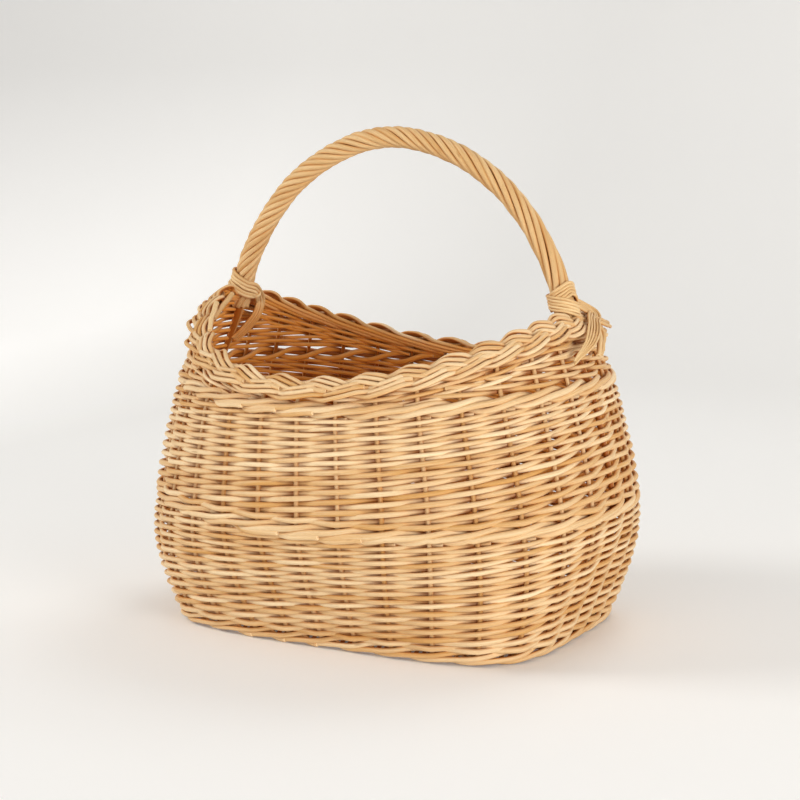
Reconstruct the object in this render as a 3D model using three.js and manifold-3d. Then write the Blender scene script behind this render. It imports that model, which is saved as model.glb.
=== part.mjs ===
// Peeled willow basket: an oval shopping basket that stands on a rectangular base,
// with a saddle-shaped plaited border and a roped bow handle lashed to its raised ends.
// Millimetres, +Z up. The origin is on the ground under the middle of the basket.
// The handle spans X, and the long sides face -Y and +Y.

import * as THREE from "three";
import { mergeVertices } from "three/addons/utils/BufferGeometryUtils.js";
import Module from "manifold-3d";

const wasm = await Module();
wasm.setup();

// Plan of the wall's middle, where the stakes stand. A squareness of 2 is an ellipse.
const baseLength = 350;
const baseWidth = 252;
const baseSquareness = 4.25;
const waistLength = 428;
const waistWidth = 342;
const waistSquareness = 2.4;
const rimLength = 344;
const rimWidth = 276;
const rimSquareness = 2.1;

// How the wall bends between those plans: 1 is straight, more keeps it full for longer.
const flarePower = 1.35;
const endLeanPower = 1.45;
const sideLeanPower = 4.8;

// Heights on the long sides, and how far the ends stand above them.
const waistHeight = 111;
const waistRise = 8;
const topWaleHeight = 213;
const topWaleRise = 12;
const rimRise = 51;

// Rods, by diameter.
const stakeDiameter = 4.4;
const weaverDiameter = 3.8;
const waleRodDiameter = 4.6;
const baseStickDiameter = 6.4;
const bowDiameter = 8.2;
const bowTipDiameter = 5.2;
const ropingRodDiameter = 4.9;
const lashingRodDiameter = 2.9;

// Counts.
const stakePlaces = 32;
const ropingRods = 8;
const lashingRods = 3;
const lashingTurns = 2;

// The woven parts' own sizes.
const gap = 0.3;
const waleHeight = 15;
const bottomWaleHeight = 12;
const baseLift = 2;
const baseThickness = 10;
const stakeToe = 17;
const outerStickInset = 30;
const borderInner = 10;
const borderOuter = 14;
const borderCrown = 11;
const borderDrop = 9;
const packingEndHeight = 0.5;
const stickEndGap = 4;

// The handle's arch, on the bow's own centre line, which stands inside the wall's middle.
const bowInset = 2.5;
const shoulderDrop = 11;
const handleRise = 155;
const archSquareness = 1.8;
const ropingPitch = 120;
const lashingSwing = 11;
const lashingSwingTurn = 0.6;

// How finely the curves are cut. A stake bends twice below the waist, at these shares of
// the waist's height, and once between the waist and the top wale.
const lowerBends = [0.4, 0.75];
const sidingSteps = 2;
const archSteps = 34;
const stakeSides = 4;
const bowSides = 6;
const stickSides = 6;
const ropingSides = 4;
const ropingStepsPerTurn = 8;
const lashingStepsPerTurn = 24;
const lashingSides = 6;

// Sizes that follow from the ones above.
const wallThickness = stakeDiameter + 2 * weaverDiameter;
const crossingThickness = weaverDiameter + 2 * gap;
const waleThickness = stakeDiameter + 2 * waleRodDiameter;
const rimHeight = topWaleHeight + waleHeight / 2 + gap + borderDrop;
const rimEndHeight = rimHeight + rimRise;
const footHeight = baseLift + baseThickness / 2;
const handleSpan = rimLength - 2 * bowInset;
const handleShoulder = rimEndHeight - shoulderDrop;
const handleTop = rimEndHeight + handleRise;
const ropingRadius = bowDiameter / 2 + ropingRodDiameter / 2 + 2 * gap;
const handleRadius = ropingRadius + ropingRodDiameter / 2;
const lashingWidth = lashingRods * lashingRodDiameter;
const lashingPitch = lashingWidth + 4 * gap;
const lashingRadius = handleRadius + gap + lashingRodDiameter / 2;

const willow = { peeled: 0xdcb27a, stake: 0xcf9f63, stick: 0xd2a871, handle: 0xd8a866 };

function material(color) {
  return new THREE.MeshStandardMaterial({ color, roughness: 0.6, metalness: 0 });
}

// Half length, half width and squareness of the wall's middle at a height.
function planAt(z) {
  const below = Math.max(0, 1 - z / waistHeight);
  const above = Math.max(0, (z - waistHeight) / (rimEndHeight - waistHeight));
  const flare = Math.pow(below, flarePower);
  const length =
    waistLength -
    (waistLength - baseLength) * flare -
    (waistLength - rimLength) * Math.pow(above, endLeanPower);
  const width =
    waistWidth -
    (waistWidth - baseWidth) * flare -
    (waistWidth - rimWidth) * Math.pow(above, sideLeanPower);
  const squareness =
    waistSquareness +
    (baseSquareness - waistSquareness) * below +
    (rimSquareness - waistSquareness) * above;
  return { a: length / 2, b: width / 2, n: squareness };
}

// A point of the wall in direction angle, at a height, offset outwards from the wall's middle.
function wall(angle, z, offset = 0) {
  const { a, b, n } = planAt(z);
  const c = Math.cos(angle);
  const s = Math.sin(angle);
  const r = Math.pow(Math.pow(Math.abs(c), n) + Math.pow(Math.abs(s), n), -1 / n);
  const x = a * c * r;
  const y = b * s * r;
  const nx = (Math.sign(x) * Math.pow(Math.abs(x / a), n - 1)) / a;
  const ny = (Math.sign(y) * Math.pow(Math.abs(y / b), n - 1)) / b;
  const length = Math.hypot(nx, ny);
  return new THREE.Vector3(x + (offset * nx) / length, y + (offset * ny) / length, z);
}

// Directions that share out the waist's girth evenly, the first at the middle of the front.
function evenAngles(count) {
  const samples = 2000;
  const start = -Math.PI / 2;
  const angles = [];
  const girth = [0];
  for (let i = 0; i <= samples; i += 1) {
    angles.push(start + (2 * Math.PI * i) / samples);
    if (i > 0) {
      const step = wall(angles[i], waistHeight).distanceTo(wall(angles[i - 1], waistHeight));
      girth.push(girth[i - 1] + step);
    }
  }
  const found = [];
  let i = 0;
  for (let k = 0; k < count; k += 1) {
    const target = (girth[samples] * k) / count;
    while (girth[i + 1] < target) i += 1;
    const t = (target - girth[i]) / (girth[i + 1] - girth[i]);
    found.push(THREE.MathUtils.lerp(angles[i], angles[i + 1], t));
  }
  return found;
}

// Every second direction is a stake's. Between them the weavers cross.
const weaveAngles = evenAngles(2 * stakePlaces);
const stakeAngles = weaveAngles.filter((_, i) => i % 2 === 0);
const rightEnd = stakePlaces / 4;
const leftEnd = (3 * stakePlaces) / 4;

function saddle(height, rise, angle) {
  return height + rise * Math.cos(angle) ** 2;
}

function waistLine(angle) {
  return saddle(waistHeight, waistRise, angle);
}

function topWaleLine(angle) {
  return saddle(topWaleHeight, topWaleRise, angle);
}

function rimLine(angle) {
  return saddle(rimHeight, rimRise, angle);
}

// Closed rings of points joined into one skin. Open ends get a fan of triangles.
function skin(rings, closed) {
  const sides = rings[0].length;
  const positions = rings.flat().flatMap((p) => [p.x, p.y, p.z]);
  const index = [];
  const last = closed ? rings.length : rings.length - 1;
  for (let i = 0; i < last; i += 1) {
    const here = i * sides;
    const next = ((i + 1) % rings.length) * sides;
    for (let j = 0; j < sides; j += 1) {
      const k = (j + 1) % sides;
      index.push(here + j, next + j, next + k, here + j, next + k, here + k);
    }
  }
  if (!closed) {
    const end = (rings.length - 1) * sides;
    for (let j = 1; j < sides - 1; j += 1) {
      index.push(0, j, j + 1);
      index.push(end, end + j + 1, end + j);
    }
  }
  const geometry = new THREE.BufferGeometry();
  geometry.setAttribute("position", new THREE.Float32BufferAttribute(positions, 3));
  geometry.setIndex(index);
  return facingOut(geometry);
}

// Turns every triangle round if the skin was joined inside out.
function facingOut(geometry) {
  const p = geometry.getAttribute("position");
  const index = geometry.getIndex().array;
  const corner = [new THREE.Vector3(), new THREE.Vector3(), new THREE.Vector3()];
  let volume = 0;
  for (let i = 0; i < index.length; i += 3) {
    corner.forEach((v, k) => v.fromBufferAttribute(p, index[i + k]));
    volume += corner[0].dot(corner[1].clone().cross(corner[2]));
  }
  if (volume < 0) {
    for (let i = 0; i < index.length; i += 3) {
      [index[i + 1], index[i + 2]] = [index[i + 2], index[i + 1]];
    }
  }
  return geometry;
}

function toSolid(geometry) {
  const merged = mergeVertices(geometry, 1e-4);
  return new wasm.Manifold(
    new wasm.Mesh({
      numProp: 3,
      vertProperties: new Float32Array(merged.getAttribute("position").array),
      triVerts: new Uint32Array(merged.getIndex().array),
    }),
  );
}

function toGeometry(solid) {
  const mesh = solid.getMesh();
  const geometry = new THREE.BufferGeometry();
  geometry.setAttribute("position", new THREE.BufferAttribute(mesh.vertProperties, 3));
  geometry.setIndex(new THREE.BufferAttribute(mesh.triVerts, 1));
  return geometry;
}

function cut(geometry, cutters) {
  return toGeometry(cutters.reduce((left, cutter) => left.subtract(cutter), toSolid(geometry)));
}

// A rod along points that lie in one upright plane, with a radius at each point.
function rod(points, radii, sides) {
  const last = points.length - 1;
  const chord = points[last].clone().sub(points[0]);
  const across = chord.cross(points[1].clone().sub(points[0])).normalize();
  const rings = points.map((p, i) => {
    const before = points[Math.max(0, i - 1)];
    const after = points[Math.min(last, i + 1)];
    const along = after.clone().sub(before).normalize();
    const up = along.clone().cross(across);
    return Array.from({ length: sides }, (_, k) => {
      const turn = (2 * Math.PI * (k + 0.5)) / sides;
      return p
        .clone()
        .addScaledVector(across, radii[i] * Math.cos(turn))
        .addScaledVector(up, radii[i] * Math.sin(turn));
    });
  });
  return skin(rings, false);
}

// Heights at which a stake bends, from above its foot to just under the border.
function stakeHeights(angle) {
  const waist = waistLine(angle);
  const top = topWaleLine(angle);
  const end = rimLine(angle) - borderDrop - stakeDiameter / 4 - gap;
  return [...lowerBends.map((share) => share * waist), (waist + top) / 2, end];
}

// The row of the outermost base stick, near each long edge.
function outerStickRow() {
  return planAt(footHeight).b - outerStickInset;
}

// A stake's foot runs into the base, and stops short of the outermost stick.
function toeLength(angle) {
  const foot = wall(angle, footHeight);
  const across = Math.abs(wall(angle, footHeight, 1).y - foot.y);
  const room = Math.abs(foot.y) - outerStickRow() - baseStickDiameter / 2 - stakeDiameter - gap;
  return room > 0 ? Math.min(stakeToe, room / across) : stakeToe;
}

function stakePoints(angle) {
  const heights = stakeHeights(angle);
  return [
    wall(angle, footHeight, -toeLength(angle)),
    wall(angle, footHeight),
    ...heights.map((z) => wall(angle, z)),
  ];
}

// With grow, the channel that the stake stands in, which is longer at both ends.
function stake(angle, grow = 0) {
  const points = stakePoints(angle);
  if (grow > 0) {
    const toe = points[0].clone().sub(points[1]).normalize();
    points[0].addScaledVector(toe, grow);
    const tip = points.length - 1;
    const up = points[tip].clone().sub(points[tip - 1]).normalize();
    points[tip].addScaledVector(up, stakeDiameter);
  }
  return rod(points, points.map(() => stakeDiameter / 2 + grow), stakeSides);
}

// The bow: an arch over the basket whose legs run down inside the two end walls.
function bowArch() {
  const points = [];
  for (let i = 0; i <= archSteps; i += 1) {
    const turn = (Math.PI * i) / archSteps;
    const c = Math.cos(turn);
    const s = Math.sin(turn);
    const n = archSquareness;
    const r = Math.pow(Math.pow(Math.abs(c), n) + Math.pow(Math.abs(s), n), -1 / n);
    const z = handleShoulder + (handleTop - handleShoulder) * s * r;
    points.push(new THREE.Vector3((handleSpan / 2) * c * r, 0, z));
  }
  return points;
}

// A leg of the bow, from the foot ring up to where it leaves the top wale.
function bowLeg(end, grow) {
  const angle = stakeAngles[end];
  const bends = stakeHeights(angle).slice(0, -1);
  const foot = footHeight - stakeDiameter / 2 - grow;
  return [foot, ...bends, topWaleLine(angle)].map((z) => wall(angle, z));
}

function bow(grow = 0) {
  const right = bowLeg(rightEnd, grow);
  const left = bowLeg(leftEnd, grow).reverse();
  const points = [...right, ...bowArch(), ...left];
  const slender = topWaleLine(0) + waleHeight / 2;
  const radii = points.map((p) => {
    const full = THREE.MathUtils.smoothstep(p.z, slender, rimEndHeight);
    return THREE.MathUtils.lerp(bowTipDiameter, bowDiameter, full) / 2 + grow;
  });
  return rod(points, radii, bowSides);
}

const archPoints = bowArch();

// The bow's centre and direction at a distance along the arch from its right foot.
function alongArch(distance) {
  let i = 0;
  let left = distance;
  const last = archPoints.length - 1;
  const span = (k) => archPoints[k].distanceTo(archPoints[k + 1]);
  while (i < last - 1 && left > span(i)) {
    left -= span(i);
    i += 1;
  }
  const t = left / span(i);
  const direction = (k) => {
    const before = archPoints[Math.max(0, k - 1)];
    const after = archPoints[Math.min(last, k + 1)];
    return after.clone().sub(before).normalize();
  };
  return {
    at: archPoints[i].clone().lerp(archPoints[i + 1], t),
    along: direction(i).lerp(direction(i + 1), t).normalize(),
  };
}

function archLength() {
  return archPoints.slice(1).reduce((sum, p, i) => sum + p.distanceTo(archPoints[i]), 0);
}

// The roping starts where the bow comes out of the border.
function ropingStart() {
  let distance = 0;
  while (alongArch(distance).at.z < rimEndHeight + borderCrown + gap) distance += gap;
  return distance;
}

const ropingFrom = ropingStart();
const ropingTo = archLength() - ropingFrom;

// A point at a turn round the arch, where turn 0 points to +Y.
function roundArch(distance, turn, radius) {
  const { at, along } = alongArch(distance);
  const side = new THREE.Vector3(0, 1, 0);
  const up = along.clone().cross(side);
  const out = side.multiplyScalar(Math.cos(turn)).addScaledVector(up, Math.sin(turn));
  return { point: at.clone().addScaledVector(out, radius), out };
}

// Joins stations, each a point with its outward direction, into a flat or round tube.
function tube(stations, halfWidth, halfThickness, sides) {
  const rings = stations.map(({ point, out }, i) => {
    const before = stations[Math.max(0, i - 1)].point;
    const after = stations[Math.min(stations.length - 1, i + 1)].point;
    const along = after.clone().sub(before).normalize();
    const thick = out.clone().addScaledVector(along, -out.dot(along)).normalize();
    const wide = along.clone().cross(thick);
    return Array.from({ length: sides }, (_, k) => {
      const turn = (2 * Math.PI * (k + 0.5)) / sides;
      return point
        .clone()
        .addScaledVector(wide, halfWidth * Math.cos(turn))
        .addScaledVector(thick, halfThickness * Math.sin(turn));
    });
  });
  return { geometry: skin(rings, false), rings };
}

// The least distance between stretches of a tube that are most of a turn apart.
function leastGap(rings, apart) {
  let least = Infinity;
  for (let i = 0; i < rings.length; i += 1) {
    for (let j = i + apart; j < rings.length; j += 1) {
      for (const p of rings[i]) {
        for (const q of rings[j]) least = Math.min(least, p.distanceTo(q));
      }
    }
  }
  return least;
}

function ropingRod(number) {
  const turns = (ropingTo - ropingFrom) / ropingPitch;
  const steps = Math.ceil(turns * ropingStepsPerTurn);
  const start = (2 * Math.PI * number) / ropingRods;
  const stations = [];
  for (let i = 0; i <= steps; i += 1) {
    const distance = THREE.MathUtils.lerp(ropingFrom, ropingTo, i / steps);
    const turn = start + (2 * Math.PI * (distance - ropingFrom)) / ropingPitch;
    stations.push(roundArch(distance, turn, ropingRadius));
  }
  const radius = ropingRodDiameter / 2;
  return tube(stations, radius, radius, ropingSides).geometry;
}

// A flat band of rods that comes up over the border's outside, swings steeply round the
// handle's root and then winds close above itself. It is mirrored for the left end.
function lashing(side, name) {
  const angle = stakeAngles[rightEnd];
  const half = lashingRodDiameter / 2;
  const clear = half + 4 * gap;
  const outward = new THREE.Vector3(1, 0, 0);
  const overCrown = new THREE.Vector3(1, 0, 1).normalize();
  const tail = [
    [borderOuter + clear, -borderDrop - lashingWidth, -lashingWidth, outward],
    [borderOuter + clear, -borderDrop / 2, -lashingWidth * 0.75, outward],
    [borderOuter * 0.7 + clear, borderCrown / 2 + clear, -lashingWidth * 0.4, overCrown],
  ];
  const stations = tail.map(([offset, rise, y, out]) => {
    const point = wall(angle, rimEndHeight + rise, offset);
    return { point: point.setY(y), out };
  });
  const from = ropingFrom + lashingRodDiameter;
  const steps = lashingTurns * lashingStepsPerTurn;
  for (let i = 0; i <= steps; i += 1) {
    const turned = (2 * Math.PI * i) / lashingStepsPerTurn;
    const swing = lashingSwing * (1 - Math.exp(-turned / lashingSwingTurn));
    const distance = from + swing + (lashingPitch * i) / lashingStepsPerTurn;
    stations.push(roundArch(distance, turned - Math.PI / 2, lashingRadius));
  }
  const end = stations[stations.length - 1];
  const beforeEnd = stations[stations.length - 2];
  const straight = end.point.clone().sub(beforeEnd.point).setLength(lashingRodDiameter);
  stations.push({ point: end.point.clone().add(straight), out: end.out });
  const made = tube(stations, lashingWidth / 2, half, lashingSides);
  const least = leastGap(made.rings, Math.round(lashingStepsPerTurn * 0.7));
  console.log(name + ": least gap to itself " + least.toFixed(2) + " mm");
  if (side < 0) made.geometry.scale(-1, 1, 1);
  return facingOut(made.geometry);
}

// A woven ring: one section at each direction, given as offset and height pairs.
function wovenRing(angles, section, closed = true) {
  const rings = angles.map((angle) =>
    section(angle).map(([offset, z]) => wall(angle, z, offset)),
  );
  return skin(rings, closed);
}

// Siding is full at a stake, where weavers pass before and behind it, and thin where they cross.
function sidingSection(low, high) {
  return (angle) => {
    const half = (stakeAngles.includes(angle) ? wallThickness : crossingThickness) / 2;
    const heights = [];
    for (let i = 0; i <= sidingSteps; i += 1) {
      heights.push(THREE.MathUtils.lerp(low(angle), high(angle), i / sidingSteps));
    }
    const outer = heights.map((z) => [half, z]);
    const inner = heights.map((z) => [-half, z]).reverse();
    return [...outer, ...inner];
  };
}

// A wale is fuller than the siding, with its edges drawn in to the siding's thickness.
function waleSection(low, high) {
  const edge = wallThickness / 2;
  const full = waleThickness / 2;
  return (angle) => {
    const bottom = low(angle);
    const top = high(angle);
    const middle = (bottom + top) / 2;
    return [
      [edge, bottom],
      [full, middle],
      [edge, top],
      [-edge, top],
      [-full, middle],
      [-edge, bottom],
    ];
  };
}

// The plait lies tilted over the rim: high on the inside, low and full on the outside.
function borderSection(angle) {
  const z = rimLine(angle);
  return [
    [wallThickness / 2, z - borderDrop],
    [-wallThickness / 2, z - borderDrop],
    [-borderInner, z - borderDrop / 4],
    [-borderInner, z + borderCrown * 0.6],
    [0, z + borderCrown],
    [borderOuter * 0.7, z + borderCrown / 2],
    [borderOuter, z - borderDrop / 2],
  ];
}

function endRange(end) {
  const angles = [];
  const reach = stakePlaces / 4 - 1;
  for (let k = -reach; k <= reach; k += 1) angles.push(stakeAngles[(end + k) % stakePlaces]);
  return angles.filter((angle) => {
    const low = topWaleLine(angle) + waleHeight / 2 + gap;
    return rimLine(angle) - borderDrop - gap - low > packingEndHeight;
  });
}

const basket = new THREE.Group();

function add(name, geometry, color) {
  const mesh = new THREE.Mesh(geometry, material(color));
  mesh.name = name;
  basket.add(mesh);
  return mesh;
}

// Stakes stand at every place but the two where the bow's legs take their turn.
const places = stakeAngles.map((angle, i) => ({ angle, i }));
const stakes = places.filter(({ i }) => i !== rightEnd && i !== leftEnd);
stakes.forEach(({ angle }, k) => {
  add("stake_" + String(k + 1).padStart(2, "0"), stake(angle), willow.stake);
});
const stakeHoles = stakes.map(({ angle }) => toSolid(stake(angle, gap)));
const bowHole = toSolid(bow(gap));
const holes = [...stakeHoles, bowHole];

// Base sticks run lengthways, one between each two neighbouring end stakes and one
// near each long edge.
function baseStickRows() {
  const rows = [];
  const endRows = [];
  for (let k = -3; k <= 3; k += 1) endRows.push(wall(stakeAngles[rightEnd + k], footHeight).y);
  for (let k = 1; k < endRows.length; k += 1) rows.push((endRows[k - 1] + endRows[k]) / 2);
  return [-outerStickRow(), ...rows, outerStickRow()];
}

// How far a stick at a row can reach before its side meets the base panel's edge.
function panelReach(y) {
  const side = Math.abs(y) + baseStickDiameter / 2;
  const edge = stakeAngles.map((angle) => wall(angle, footHeight, -waleThickness / 2 - gap));
  let reach = 0;
  edge.forEach((p, i) => {
    const q = edge[(i + 1) % edge.length];
    if ((p.y - side) * (q.y - side) < 0) {
      const t = (side - p.y) / (q.y - p.y);
      reach = Math.max(reach, p.x + t * (q.x - p.x));
    }
  });
  return reach;
}

// With grow, the channel that the stick lies in, which opens at both ends.
function baseStick(y, grow = 0) {
  const reach = panelReach(y) + (grow > 0 ? stickEndGap : -stickEndGap);
  const radius = baseStickDiameter / 2 + grow;
  const geometry = new THREE.CylinderGeometry(radius, radius, 2 * reach, stickSides);
  geometry.rotateZ(Math.PI / 2);
  geometry.translate(0, y, footHeight);
  geometry.deleteAttribute("normal");
  geometry.deleteAttribute("uv");
  return geometry;
}

const stickRows = baseStickRows();
stickRows.forEach((y, k) => add("base_stick_" + (k + 1), baseStick(y), willow.stick));
const stickHoles = stickRows.map((y) => toSolid(baseStick(y, gap)));

const panelRings = [baseLift, baseLift + baseThickness].map((z) =>
  stakeAngles.map((angle) => wall(angle, z, -waleThickness / 2 - gap)),
);
add("base_weave", cut(skin(panelRings, false), [...stakeHoles, ...stickHoles]), willow.peeled);

// The wall, from the ground up.
const half = waleHeight / 2;
const bottomWale = waleSection(() => 0, () => bottomWaleHeight);
const lowerSiding = sidingSection(() => bottomWaleHeight + gap, (t) => waistLine(t) - half - gap);
const waistWale = waleSection((t) => waistLine(t) - half, (t) => waistLine(t) + half);
const upperSiding = sidingSection(
  (t) => waistLine(t) + half + gap,
  (t) => topWaleLine(t) - half - gap,
);
const topWale = waleSection((t) => topWaleLine(t) - half, (t) => topWaleLine(t) + half);
const packing = sidingSection(
  (t) => topWaleLine(t) + half + gap,
  (t) => rimLine(t) - borderDrop - gap,
);
add("bottom_wale", cut(wovenRing(stakeAngles, bottomWale), holes), willow.peeled);
add("siding_lower", cut(wovenRing(weaveAngles, lowerSiding), holes), willow.peeled);
add("waist_wale", cut(wovenRing(stakeAngles, waistWale), holes), willow.peeled);
add("siding_upper", cut(wovenRing(weaveAngles, upperSiding), holes), willow.peeled);
add("top_wale", cut(wovenRing(stakeAngles, topWale), holes), willow.peeled);
add("packing_right", cut(wovenRing(endRange(rightEnd), packing, false), holes), willow.peeled);
add("packing_left", cut(wovenRing(endRange(leftEnd), packing, false), holes), willow.peeled);
add("border_plait", cut(wovenRing(stakeAngles, borderSection), [bowHole]), willow.peeled);

// The handle.
add("handle_bow", bow(), willow.handle);
for (let k = 0; k < ropingRods; k += 1) add("roping_rod_" + (k + 1), ropingRod(k), willow.handle);
add("lashing_right", lashing(1, "lashing_right"), willow.handle);
add("lashing_left", lashing(-1, "lashing_left"), willow.handle);

export default basket;
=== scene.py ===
# Peeled willow basket: looks, camera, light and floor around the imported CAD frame.
# Metres, +Z up. The handle spans X, and the long sides face -Y and +Y.

import math

import bpy
import numpy as np
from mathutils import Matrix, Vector


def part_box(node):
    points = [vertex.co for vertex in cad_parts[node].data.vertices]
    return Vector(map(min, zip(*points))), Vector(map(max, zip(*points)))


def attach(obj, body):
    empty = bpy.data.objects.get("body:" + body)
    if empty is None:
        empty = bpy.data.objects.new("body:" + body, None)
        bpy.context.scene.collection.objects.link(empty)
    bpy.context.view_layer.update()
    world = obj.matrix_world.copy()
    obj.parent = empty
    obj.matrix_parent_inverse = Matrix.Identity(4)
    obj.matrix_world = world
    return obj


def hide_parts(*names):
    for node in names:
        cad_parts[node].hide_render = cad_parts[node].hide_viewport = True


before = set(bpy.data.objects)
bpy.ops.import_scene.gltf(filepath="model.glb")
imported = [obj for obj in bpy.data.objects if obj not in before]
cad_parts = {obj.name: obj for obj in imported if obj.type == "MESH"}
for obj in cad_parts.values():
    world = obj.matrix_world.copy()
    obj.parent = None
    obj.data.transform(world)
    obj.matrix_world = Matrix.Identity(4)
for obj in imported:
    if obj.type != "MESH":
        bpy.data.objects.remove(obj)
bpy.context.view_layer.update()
print("stage: frame loaded")

# Plan and heights of the wall's middle, as in the CAD source.
wallForm = {
    "baseLength": 0.350, "baseWidth": 0.252, "baseSquareness": 4.5,
    "waistLength": 0.428, "waistWidth": 0.342, "waistSquareness": 2.4,
    "rimLength": 0.344, "rimWidth": 0.276, "rimSquareness": 2.1,
    "flarePower": 1.35, "endLeanPower": 1.45, "sideLeanPower": 4.8,
    "waistHeight": 0.111, "waistRise": 0.008,
    "topWaleHeight": 0.213, "topWaleRise": 0.012,
    "rimHeight": 0.2298, "rimRise": 0.051,
    "waleHeight": 0.015, "bottomWaleHeight": 0.0125,
    "borderDrop": 0.009, "footHeight": 0.007,
}
places, rightEnd, leftEnd = 32, 8, 24
rimEndHeight = wallForm["rimHeight"] + wallForm["rimRise"]
halfWale = wallForm["waleHeight"] / 2
sideways = np.array([1, 1, 0])
down = np.array([0, 0, -1.0])
mirrored = np.array([-1, 1, 1])


def planAt(z):
    w = wallForm
    below = np.maximum(0, 1 - z / w["waistHeight"])
    above = np.maximum(0, (z - w["waistHeight"]) / (rimEndHeight - w["waistHeight"]))
    flare = below ** w["flarePower"]
    length = (w["waistLength"] - (w["waistLength"] - w["baseLength"]) * flare
              - (w["waistLength"] - w["rimLength"]) * above ** w["endLeanPower"])
    width = (w["waistWidth"] - (w["waistWidth"] - w["baseWidth"]) * flare
             - (w["waistWidth"] - w["rimWidth"]) * above ** w["sideLeanPower"])
    squareness = (w["waistSquareness"] + (w["baseSquareness"] - w["waistSquareness"]) * below
                  + (w["rimSquareness"] - w["waistSquareness"]) * above)
    return length / 2, width / 2, squareness


# How far a superellipse of half size 1 reaches in a direction.
def superReach(angle, n):
    return (np.abs(np.cos(angle)) ** n + np.abs(np.sin(angle)) ** n) ** (-1 / n)


def wallMiddle(angle, z):
    a, b, n = planAt(z)
    r = superReach(angle, n)
    return np.stack([a * np.cos(angle) * r, b * np.sin(angle) * r, z + 0 * angle], axis=-1)


def unit(v):
    return v / np.maximum(np.linalg.norm(v, axis=-1, keepdims=True), 1e-12)


# Distance along a line of points, from 0 at its start.
def runLength(points):
    return np.concatenate([[0], np.cumsum(np.linalg.norm(np.diff(points, axis=0), axis=1))])


# Directions by stake place: place 0 is the middle of the front, 8 the right end.
girthAngles = np.linspace(-math.pi / 2, 3 * math.pi / 2, 4001)
girth = runLength(wallMiddle(girthAngles, wallForm["waistHeight"]))


def angleAt(place):
    rounds = np.floor(place / places)
    share = (place / places - rounds) * girth[-1]
    return np.interp(share, girth, girthAngles) + rounds * 2 * math.pi


# Lines round the wall that rise towards both ends.
def saddle(part, place):
    return wallForm[part + "Height"] + wallForm[part + "Rise"] * np.cos(angleAt(place)) ** 2


def waistLine(place):
    return saddle("waist", place)


def topWaleLine(place):
    return saddle("topWale", place)


# A point of the wall and its true outward normal, for arrays of places and heights.
def onWall(place, z, offset):
    place, z, offset = np.broadcast_arrays(*[np.asarray(x, float) for x in (place, z, offset)])
    angle = angleAt(place)
    turn, lift = 1e-3, 1e-4      # small steps for the slopes
    middle = wallMiddle(angle, z)
    around = wallMiddle(angle + turn, z) - wallMiddle(angle - turn, z)
    upward = wallMiddle(angle, z + lift) - wallMiddle(angle, z - lift)
    normal = unit(np.cross(around, upward))
    return middle + normal * offset[..., None], normal


# The same with the offset measured nearly level, so that rods before and behind a stake stay
# at one height where the wall leans. The rounds tip a little to the back.
roundsTip = 0.13


def levelOnWall(place, z, offset):
    _, normal = onWall(place, z, 0)
    return onWall(place, z - (normal[..., 2] + roundsTip * np.sin(angleAt(place))) * offset, offset)


# The border's middle surface in a section: the plait lies tilted over the rim, high on the
# inside and low on the outside. It sits lower at the right end than at the left one, where
# it climbs to the handle and lies flatter.
borderForm = {
    "curve": [(-0.0060, 0.0030), (-0.0030, 0.0112), (0.0050, 0.0030), (0.0125, -0.0130)],
    "tilt": 0.0028, "backDrop": 0.003, "climb": 0.0075, "climbAt": 25.1, "climbWidth": 1.6,
    "spread": 0.0036, "spreadAt": 25.9,
}


def near(place, middle, width):
    away = (place - middle + places / 2) % places - places / 2
    return np.exp(-(away / width) ** 2)


def plaitLine(place):
    climb = borderForm["climb"] * near(place, borderForm["climbAt"], borderForm["climbWidth"])
    angle = angleAt(place)
    low = borderForm["tilt"] * np.cos(angle) ** 3
    low = low + borderForm["backDrop"] * np.maximum(0, np.sin(angle))
    return saddle("rim", place) - low + climb


def borderTable():
    t = np.linspace(0, 1, 241)[:, None]
    p = np.array(borderForm["curve"])
    at = ((1 - t) ** 3 * p[0] + 3 * (1 - t) ** 2 * t * p[1]
          + 3 * (1 - t) * t ** 2 * p[2] + t ** 3 * p[3])
    step = np.gradient(at, axis=0)
    normal = unit(np.stack([-step[:, 1], step[:, 0]], axis=1))
    across = runLength(at)
    across -= across[-1] / 2
    return across, at, normal


borderAcross, borderAt, borderNormal = borderTable()


# A point over the border: across is measured from its crown line, outwards and down.
def onBorder(place, across, lift):
    place, across, lift = np.broadcast_arrays(*[np.asarray(x, float) for x in (place, across, lift)])
    offset = np.interp(across, borderAcross, borderAt[:, 0])
    height = np.interp(across, borderAcross, borderAt[:, 1])
    outer = np.clip(across / borderAcross[-1], 0, 1)
    here = near(place, borderForm["spreadAt"], borderForm["climbWidth"])
    offset = offset + borderForm["spread"] * outer * here
    height = height - np.maximum(0, across - borderAcross[-1])
    height = height - np.maximum(0, borderAcross[0] - across)
    outN = np.interp(across, borderAcross, borderNormal[:, 0])
    upN = np.interp(across, borderAcross, borderNormal[:, 1])
    z = plaitLine(place)
    middle = wallMiddle(angleAt(place), z + height)
    _, normal = onWall(place, np.minimum(z, rimEndHeight), 0)
    flat = unit(normal * sideways)
    point = middle + flat * (offset + outN * lift)[..., None]
    point[..., 2] += upN * lift
    out = flat * outN[..., None]
    out[..., 2] += upN
    return point, unit(out)


def smooth(low, high, x):
    t = np.clip((x - low) / (high - low), 0, 1)
    return t * t * (3 - 2 * t)


# Slow, seeded unevenness along a rod, about -1 to 1: a sum of four random waves.
def sway(rng, s, slow=0.13, fast=0.6):
    total = 0 * s
    for _ in range(4):
        rate = rng.uniform(slow, fast)
        total = total + rng.uniform(0.3, 0.6) * np.sin(2 * math.pi * (rate * s + rng.random()))
    return total


# A rod's thickness swells and thins a little on its way.
def swelling(rng, s, share=0.03):
    return 1 + share * sway(rng, s, 0.3, 1.2)


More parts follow.
